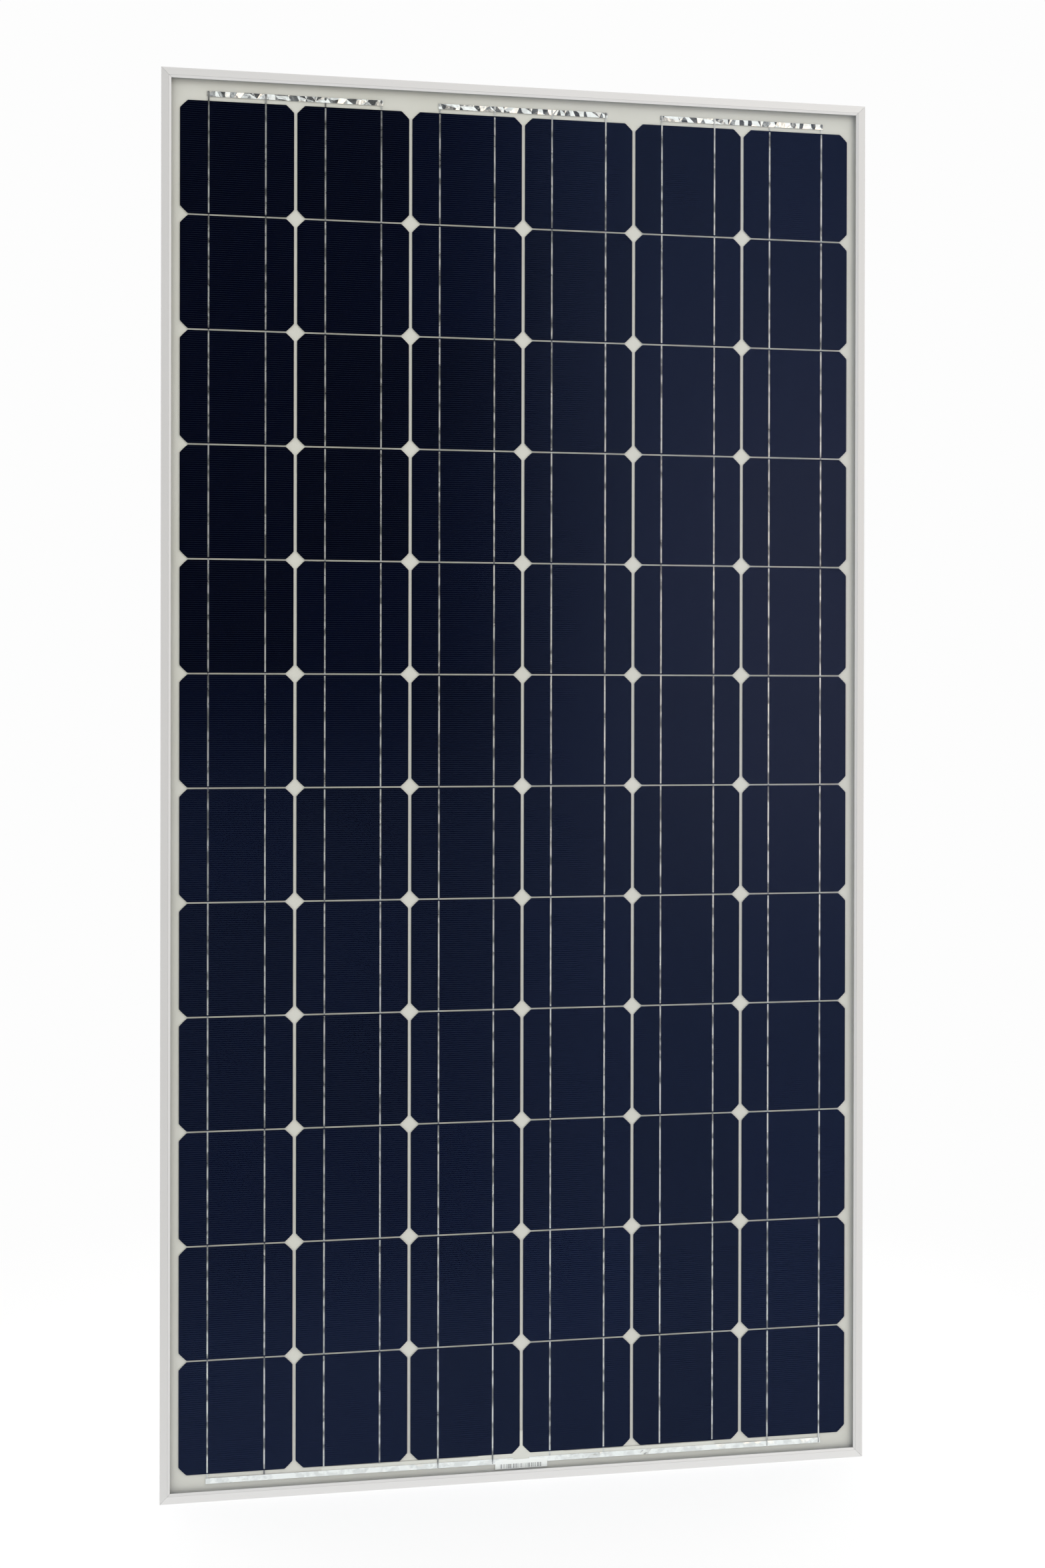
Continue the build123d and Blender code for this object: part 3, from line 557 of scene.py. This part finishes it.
def diode_body():
    """Moulded black epoxy, faintly glossy, with the bright tinned wires that leave its two ends."""
    material, tree = new_material("moulded epoxy and tinned wire")
    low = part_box("terminal_rail_2")[0]
    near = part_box("terminal_rail_3")[0]
    half_pitch = (near.x - low.x) / 2
    axes = add(tree, "ShaderNodeSeparateXYZ", {"Vector": place(tree)})
    beside = {0: axes.outputs["X"], 1: half_pitch}
    away = add(tree, "ShaderNodeMath", beside, operation="PINGPONG")
    wire = add(tree, "ShaderNodeMath", {0: away.outputs[0], 1: DIODE_REACH}, operation="GREATER_THAN")
    grain = add(tree, "ShaderNodeTexNoise", {"Vector": place(tree), "Scale": per_metre(0.4), "Detail": 3.0})
    black = {"Factor": grain.outputs["Fac"], 6: rgba(linear("#101010")), 7: rgba(linear("#1C1C1D"))}
    epoxy = add(tree, "ShaderNodeMix", black, data_type="RGBA")
    both = {"Factor": wire.outputs[0], 6: epoxy.outputs[2], 7: rgba(linear("#D5D7D9"))}
    colour = add(tree, "ShaderNodeMix", both, data_type="RGBA")
    height = {"Height": grain.outputs["Fac"], "Strength": 0.2, "Distance": 0.08 * MM}
    bump = add(tree, "ShaderNodeBump", height)
    rough = {"Value": grain.outputs["Fac"], "To Min": 0.28, "To Max": 0.42}
    roughness = add(tree, "ShaderNodeMapRange", rough)
    shader = add(
        tree,
        "ShaderNodeBsdfPrincipled",
        {
            "Base Color": colour.outputs[2],
            "Metallic": wire.outputs[0],
            "Roughness": roughness.outputs["Result"],
            "Normal": bump.outputs["Normal"],
        },
    )
    surface(tree, shader.outputs["BSDF"])
    return material


def white_ink():
    """Silver-white ink band on a diode."""
    return speckled("silver ink", "#C8C9CA", 0.5, 0.3, 0.1)


def pale_floor():
    """White acrylic sheet, softly lit from beneath, that fades into the studio's surround at its rim."""
    settings = bpy.context.scene.panel_stage
    material, tree = new_material("lit white acrylic")
    radius = settings.floor_radius
    length = add(tree, "ShaderNodeVectorMath", {0: place(tree, (1.0, 1.0, 0.0))}, operation="LENGTH")
    fade = {"Value": length.outputs["Value"], "From Min": 0.2 * radius, "From Max": 0.95 * radius}
    amount = add(tree, "ShaderNodeMapRange", fade, interpolation_type="SMOOTHSTEP")
    grain = add(tree, "ShaderNodeTexNoise", {"Vector": place(tree), "Scale": per_metre(3), "Detail": 3.0})
    height = {"Height": grain.outputs["Fac"], "Strength": 0.05, "Distance": 0.2 * MM}
    bump = add(tree, "ShaderNodeBump", height)
    board = add(
        tree,
        "ShaderNodeBsdfPrincipled",
        {
            "Base Color": rgba(settings.floor_colour),
            "Roughness": 0.8,
            "Normal": bump.outputs["Normal"],
            "Emission Color": rgba(linear("#FFFFFF")),
            "Emission Strength": settings.floor_glow,
        },
    )
    gone = add(tree, "ShaderNodeBsdfTransparent")
    mixed = {"Fac": amount.outputs["Result"], 1: board.outputs["BSDF"], 2: gone.outputs["BSDF"]}
    surface(tree, add(tree, "ShaderNodeMixShader", mixed).outputs["Shader"])
    return material


# Operators


class PANEL_OT_stage(bpy.types.Operator):
    """Adds the floor, the studio's surround, the soft light and the camera"""

    bl_idname = "panel.stage"
    bl_label = "Stage"

    def execute(self, context):
        settings = context.scene.panel_stage
        foot = CAD_BOX[0][2]
        steps = 96
        radius = settings.floor_radius
        turns = [2 * math.pi * step / steps for step in range(steps)]
        points = [(radius * math.cos(turn), radius * math.sin(turn), foot) for turn in turns]
        mesh = bpy.data.meshes.new("studio_floor")
        mesh.from_pydata(points, [], [tuple(range(steps))])
        mesh.materials.append(pale_floor())
        floor = bpy.data.objects.new("studio_floor", mesh)
        context.scene.collection.objects.link(floor)
        self.surround(context, settings)
        self.softbox(context)
        self.camera(context, settings)
        context.scene.view_settings.view_transform = "Standard"
        return {"FINISHED"}

    def surround(self, context, settings):
        """A pale room with one unlit part in front, which the panel mirrors, and a warm bright part.

        A direction is told by how far it goes across and up for each metre it goes ahead of the panel.
        """
        world = bpy.data.worlds.new("studio_surround")
        world.use_nodes = True
        tree = world.node_tree
        tree.nodes.clear()
        direction = add(tree, "ShaderNodeTexCoord").outputs["Generated"]
        axes = add(tree, "ShaderNodeSeparateXYZ", {"Vector": direction})
        ahead = add(tree, "ShaderNodeMath", {0: axes.outputs["Y"], 1: -1.0}, operation="MULTIPLY")
        safe = add(tree, "ShaderNodeMath", {0: ahead.outputs[0], 1: 0.05}, operation="MAXIMUM")

        def ramp(source, start, end, low=0.0, high=1.0):
            limits = {"Value": source, "From Min": start, "From Max": end, "To Min": low, "To Max": high}
            return add(tree, "ShaderNodeMapRange", limits, interpolation_type="SMOOTHSTEP").outputs["Result"]

        def combine(operation, first, second):
            return add(tree, "ShaderNodeMath", {0: first, 1: second}, operation=operation).outputs[0]

        across = combine("DIVIDE", axes.outputs["X"], safe.outputs[0])
        rise = combine("DIVIDE", axes.outputs["Z"], safe.outputs[0])
        unlit = combine("MULTIPLY", ramp(across, *UNLIT_RIGHT), ramp(across, *UNLIT_LEFT))
        unlit = combine("MULTIPLY", unlit, ramp(rise, *UNLIT_HORIZON))
        ends = combine("MULTIPLY", ramp(rise, *UNLIT_TOP), ramp(rise, *UNLIT_FOOT))
        unlit = combine("MULTIPLY", unlit, ends)
        unlit = combine("MULTIPLY", unlit, ramp(ahead.outputs[0], *IN_FRONT))
        glow = combine("MULTIPLY", ramp(across, *GLOW_LEFT), ramp(across, *GLOW_RIGHT))
        glow = combine("MULTIPLY", glow, combine("MULTIPLY", ramp(rise, *GLOW_FOOT), ramp(rise, *GLOW_TOP)))
        glow = combine("MULTIPLY", glow, ramp(ahead.outputs[0], *IN_FRONT, 0.0, GLOW_LEVEL))
        overhead = ramp(axes.outputs["Z"], 0.3, 0.8, 1.0, settings.overhead)
        wall = add(tree, "ShaderNodeMapRange", {"Value": unlit, "To Min": 1.0, "To Max": UNLIT_LEVEL})
        level = combine("MULTIPLY", wall.outputs["Result"], overhead)
        level = combine("MULTIPLY", level, settings.surround)
        walls = add(tree, "ShaderNodeBackground", {"Color": rgba(linear("#FFFFFF")), "Strength": level})
        window = add(tree, "ShaderNodeBackground", {"Color": rgba(linear("#FFD2A4")), "Strength": glow})
        light = add(tree, "ShaderNodeAddShader", {0: walls.outputs[0], 1: window.outputs[0]})
        backdrop = add(tree, "ShaderNodeBackground", {"Color": rgba(linear("#FDFDFD")), "Strength": 1.0})
        seen = add(tree, "ShaderNodeLightPath").outputs["Is Camera Ray"]
        mixed = {"Fac": seen, 1: light.outputs["Shader"], 2: backdrop.outputs["Background"]}
        shader = add(tree, "ShaderNodeMixShader", mixed)
        add(tree, "ShaderNodeOutputWorld", {"Surface": shader.outputs["Shader"]})
        context.scene.world = world

    def softbox(self, context):
        """One large soft light, high in front on the right."""
        light = bpy.data.lights.new("softbox", "AREA")
        light.shape = "RECTANGLE"
        light.size = 2.4
        light.size_y = 1.8
        light.energy = 35.0
        lamp = bpy.data.objects.new("softbox", light)
        lamp.location = (1.9, -3.0, 2.2)
        lamp.rotation_euler = (Vector((0, 0, 0)) - lamp.location).to_track_quat("-Z", "Y").to_euler()
        lamp.visible_camera = False
        lamp.visible_glossy = False
        context.scene.collection.objects.link(lamp)

    def camera(self, context, settings):
        """The camera, low on the left of the panel and turned a little to the right."""
        data = bpy.data.cameras.new("studio_camera")
        data.lens = settings.lens
        data.sensor_width = 36.0
        data.shift_y = -0.0528
        camera = bpy.data.objects.new("studio_camera", data)
        cell_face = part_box("cell_string_1")[0].y
        low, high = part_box("cell_string_1")
        middle = (low.z + high.z) / 2
        camera.location = (-0.3387, cell_face - 2.0470, middle + 0.1030)
        camera.rotation_euler = (math.radians(89.824), math.radians(-0.1), math.radians(-9.394))
        context.scene.collection.objects.link(camera)
        context.scene.camera = camera


class PANEL_OT_frame(bpy.types.Operator):
    """Finishes the rails, corner keys and edge seals"""

    bl_idname = "panel.frame"
    bl_label = "Frame"

    def execute(self, context):
        for name in SIDE_NAMES:
            # The level rails take the aluminium copy whose colour holds a painted sheen
            along = "upright" if name in ("left", "right") else "level"
            finish_node(f"frame_rail_{name}", shared(anodised_aluminium, along))
            finish_node(f"edge_seal_{name}", shared(seal_foam))
        for height in ("top", "bottom"):
            for hand in ("left", "right"):
                finish_node(f"corner_key_{height}_{hand}", shared(mill_aluminium))
        return {"FINISHED"}


class PANEL_OT_laminate(bpy.types.Operator):
    """Finishes the glass, the films, the backsheet and the insulating strips"""

    bl_idname = "panel.laminate"
    bl_label = "Laminate"

    def execute(self, context):
        finish_node("front_glass", shared(solar_glass))
        finish_node("front_encapsulant", shared(clear_film))
        finish_node("rear_encapsulant", shared(clear_film))
        for name in ("front_glass", "front_encapsulant", "rear_encapsulant"):
            NODES[name].visible_shadow = False
        for name in ("front_encapsulant", "rear_encapsulant"):
            NODES[name].visible_diffuse = False
            NODES[name].visible_glossy = False
        finish_node("backsheet", shared(backsheet_film))
        finish_node("insulating_strip", shared(insulating_film))
        finish_node("lead_insulator", shared(insulating_film))
        return {"FINISHED"}


class PANEL_OT_cells(bpy.types.Operator):
    """Finishes the cells and prints their fingers"""

    bl_idname = "panel.cells"
    bl_label = "Cells"

    def execute(self, context):
        settings = context.scene.panel_cells
        for string in STRINGS:
            finish_node(f"cell_string_{string}", shared(coated_silicon))
            self.fingers(string, settings)
        return {"FINISHED"}

    def fingers(self, string, settings):
        """Prints every finger of one string, shorter where the cell's corners are cut."""
        low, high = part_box(f"cell_string_{string}")
        size = high.x - low.x
        pitch = (high.z - low.z - size) / (ROWS - 1)
        middle_x = (low.x + high.x) / 2
        half_line = settings.finger_width / 2
        count = int((size - 2 * settings.finger_margin) / settings.finger_pitch) + 1
        points, faces = [], []
        for row in range(ROWS):
            middle_z = low.z + size / 2 + row * pitch
            for number in range(count):
                z = (number - (count - 1) / 2) * settings.finger_pitch
                cut = math.sqrt((settings.wafer_diameter / 2) ** 2 - (abs(z) + half_line) ** 2)
                half = min(size / 2, cut) - settings.finger_margin
                near = (middle_x - half, low.y - settings.finger_height, middle_z + z - half_line)
                far = (middle_x + half, low.y, middle_z + z + half_line)
                add_block(points, faces, near, far)
        name = f"cell_fingers_{string}"
        new_piece(name, points, faces, shared(silver_paste), "panel")


class PANEL_OT_ribbons(bpy.types.Operator):
    """Finishes the ribbons, creases the wide ones and adds the soldered joints"""

    bl_idname = "panel.ribbons"
    bl_label = "Ribbons"

    def execute(self, context):
        settings = context.scene.panel_ribbons
        for string in STRINGS:
            finish_node(f"string_ribbons_{string}", shared(tinned_copper, "flat"))
        for name in ("terminal_ribbon_2", "terminal_ribbon_5"):
            finish_node(name, shared(tinned_copper, "flat"))
        links = ("top_12", "top_34", "top_56", "bottom_13", "bottom_46")
        for seed, name in enumerate(links):
            node = f"link_ribbon_{name}"
            finish_node(node, shared(tinned_copper, "creased"))
            self.crease(node, settings, seed)
        self.joints()
        return {"FINISHED"}

    def crease(self, node, settings, seed):
        """Lays the creased front face of a wide ribbon over its straight core."""
        chance = random.Random(seed)
        low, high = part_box(node)
        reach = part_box("link_ribbon_top_12")
        width = reach[1].z - reach[0].z
        foot = low.z
        face_y = low.y
        step = 0.8 * MM
        columns = int((high.x - low.x) / step)
        rows = 8
        creases = []
        for _ in range(int((high.x - low.x) / settings.crease_spacing)):
            middle = chance.uniform(low.x, high.x)
            lean = chance.uniform(-1.1, 1.1)
            lift = settings.crease_height * chance.uniform(0.3, 1.0)
            spread = chance.uniform(1.2, 4.5) * MM
            creases.append((middle, lean, lift, spread))

        def lifted(x, z):
            total = 0.0
            for middle, lean, lift, spread in creases:
                away = abs((x - middle) - lean * (z - foot - width / 2)) / math.sqrt(1 + lean * lean)
                total = max(total, lift * (1 - away / spread))
            end = min(x - low.x, high.x - x) / (2 * MM)
            return max(total, 0.0) * min(1.0, max(end, 0.0))

        points, faces = [], []
        for back in (0, 1):
            for column in range(columns + 1):
                x = low.x + (high.x - low.x) * column / columns
                for row in range(rows + 1):
                    z = foot + width * row / rows
                    y = face_y if back else face_y - 0.01 * MM - lifted(x, z)
                    points.append((x, y, z))
        stride = rows + 1
        shift = (columns + 1) * stride
        for column in range(columns):
            for row in range(rows):
                a = column * stride + row
                faces.append((a, a + stride, a + stride + 1, a + 1))
                faces.append((shift + a, shift + a + 1, shift + a + stride + 1, shift + a + stride))
        rim = [column * stride for column in range(columns + 1)]
        rim += [columns * stride + row for row in range(1, rows + 1)]
        rim += [column * stride + rows for column in range(columns - 1, -1, -1)]
        rim += [row for row in range(rows - 1, 0, -1)]
        for here, ahead in zip(rim, rim[1:] + rim[:1]):
            faces.append((here, shift + here, shift + ahead, ahead))
        material = shared(tinned_copper, "creased")
        new_piece(f"{node}_face", points, faces, material, "panel")

    def joints(self):
        """Adds a flat bead of solder where each row of tabs meets a wide ribbon in front."""
        points, faces = [], []
        for string in STRINGS:
            low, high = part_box(f"string_ribbons_{string}")
            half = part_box("link_ribbon_top_12")
            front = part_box("cell_string_1")[0].y
            for x in (low.x + 0.8 * MM, high.x - 0.8 * MM):
                z = (half[0].z + half[1].z) / 2 + 1.2 * MM
                add_dome(points, faces, (x, front, z), 1.4 * MM, 2.0 * MM, 0.19 * MM)
        material = shared(tinned_copper, "flat")
        new_piece("solder_joints", points, faces, material, "panel", True)


class PANEL_OT_labels(bpy.types.Operator):
    """Finishes both labels and prints their plain bars"""

    bl_idname = "panel.labels"
    bl_label = "Labels"

    def execute(self, context):
        finish_node("bar_label", shared(label_paper))
        finish_node("rating_label", shared(label_paper))
        self.front_bars()
        self.rear_bars()
        return {"FINISHED"}

    def front_bars(self):
        """Prints a row of upright bars on the lower part of the front label."""
        low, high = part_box("bar_label")
        chance = random.Random(7)
        points, faces = [], []
        x = low.x + 6 * MM
        top = low.z + 5.6 * MM
        while x < high.x - 6.5 * MM:
            width = chance.choice((0.25, 0.35, 0.35, 0.6)) * MM
            add_block(points, faces, (x, low.y - 0.01 * MM, low.z + 0.7 * MM), (x + width, low.y, top))
            x += width + chance.choice((0.6, 0.9, 1.5)) * MM
        new_piece("bar_label_bars", points, faces, shared(printing_ink), "panel")

    def rear_bars(self):
        """Prints ruled lines and short bars on the rating label, in place of its text."""
        low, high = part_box("rating_label")
        chance = random.Random(11)
        points, faces = [], []
        y = high.y
        thick = 0.01 * MM

        def bar(x_low, z_low, x_high, z_high):
            add_block(points, faces, (x_low, y, z_low), (x_high, y + thick, z_high))

        left, right = low.x + 5 * MM, high.x - 5 * MM
        for z in (high.z - 14 * MM, low.z + 18 * MM):
            bar(left, z, right, z + 0.4 * MM)
        bar(left, high.z - 10 * MM, left + 46 * MM, high.z - 6 * MM)
        row_z = high.z - 18 * MM
        while row_z > low.z + 21 * MM:
            bar(left, row_z, left + chance.uniform(18, 34) * MM, row_z + 1.3 * MM)
            bar(right - chance.uniform(12, 20) * MM, row_z, right, row_z + 1.3 * MM)
            row_z -= 4.2 * MM
        x = left
        while x < right - 30 * MM:
            width = chance.choice((0.4, 0.6, 1.0)) * MM
            bar(x, low.z + 5 * MM, x + width, low.z + 14 * MM)
            x += width + chance.choice((0.5, 0.8, 1.2)) * MM
        new_piece("rating_label_bars", points, faces, shared(printing_ink), "panel")


class PANEL_OT_box(bpy.types.Operator):
    """Finishes the junction box, its lid, gasket, pin and glands"""

    bl_idname = "panel.box"
    bl_label = "Junction Box"

    def execute(self, context):
        finish_node("junction_box_base", shared(moulded_plastic))
        finish_node("junction_box_lid", shared(moulded_plastic))
        finish_node("lid_gasket", shared(black_rubber))
        finish_node("box_adhesive", shared(silicone))
        finish_node("hinge_pin", shared(plated_steel))
        for hand in ("left", "right"):
            finish_node(f"gland_nut_{hand}", shared(nut_plastic))
            finish_node(f"gland_seal_{hand}", shared(black_rubber))
        return {"FINISHED"}


class PANEL_OT_terminals(bpy.types.Operator):
    """Finishes the rails, clips, diodes and screws inside the box"""

    bl_idname = "panel.terminals"
    bl_label = "Terminals"

    def execute(self, context):
        for number in range(1, 5):
            finish_node(f"terminal_rail_{number}", shared(tinned_brass))
        finish_node("ribbon_clips", shared(plated_steel))
        finish_node("clamp_screws", shared(plated_steel))
        for number in range(1, 4):
            finish_node(f"bypass_diode_{number}", shared(diode_body))
        self.bands()
        return {"FINISHED"}

    def bands(self):
        """Prints the ring that marks one end of each diode's body."""
        points, faces = [], []
        for number in range(1, 4):
            low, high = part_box(f"bypass_diode_{number}")
            centre = (low + high) / 2
            outer = (high.y - low.y) / 2 + 0.02 * MM
            start = centre.x + 2.2 * MM
            profile = [(start, outer - 0.05 * MM), (start, outer), (start + 1.4 * MM, outer)]
            profile.append((start + 1.4 * MM, outer - 0.05 * MM))
            first, steps = len(points), 40
            for step in range(steps):
                turn = 2 * math.pi * step / steps
                for x, radius in profile:
                    y = centre.y + radius * math.cos(turn)
                    points.append((x, y, centre.z + radius * math.sin(turn)))
            for step in range(steps):
                here, ahead = first + 4 * step, first + 4 * ((step + 1) % steps)
                for corner in range(4):
                    after = (corner + 1) % 4
                    faces.append((here + corner, here + after, ahead + after, ahead + corner))
        new_piece("diode_bands", points, faces, shared(white_ink), "panel")


OPERATORS = (
    PANEL_OT_stage,
    PANEL_OT_frame,
    PANEL_OT_laminate,
    PANEL_OT_cells,
    PANEL_OT_ribbons,
    PANEL_OT_labels,
    PANEL_OT_box,
    PANEL_OT_terminals,
)


class PANEL_PT_sidebar(bpy.types.Panel):
    """Lists the panel's operators"""

    bl_idname = "PANEL_PT_sidebar"
    bl_label = "Solar Panel"
    bl_space_type = "VIEW_3D"
    bl_region_type = "UI"
    bl_category = "Solar Panel"

    def draw(self, context):
        for operator in OPERATORS:
            self.layout.operator(operator.bl_idname)


def register():
    """Registers every class and puts the settings on the scene."""
    for name, group in SETTINGS.items():
        bpy.utils.register_class(group)
        setattr(bpy.types.Scene, name, bpy.props.PointerProperty(type=group))
    for operator in (*OPERATORS, PANEL_PT_sidebar):
        bpy.utils.register_class(operator)


def unregister():
    """Takes every class and setting away again."""
    for operator in (*OPERATORS, PANEL_PT_sidebar):
        bpy.utils.unregister_class(operator)
    for name, group in SETTINGS.items():
        delattr(bpy.types.Scene, name)
        bpy.utils.unregister_class(group)


def main():
    """Builds the whole panel."""
    register()
    bpy.ops.panel.stage()
    bpy.ops.panel.frame()
    bpy.ops.panel.laminate()
    bpy.ops.panel.cells()
    bpy.ops.panel.ribbons()
    bpy.ops.panel.labels()
    bpy.ops.panel.box()
    bpy.ops.panel.terminals()


if __name__ == "__main__":
    main()
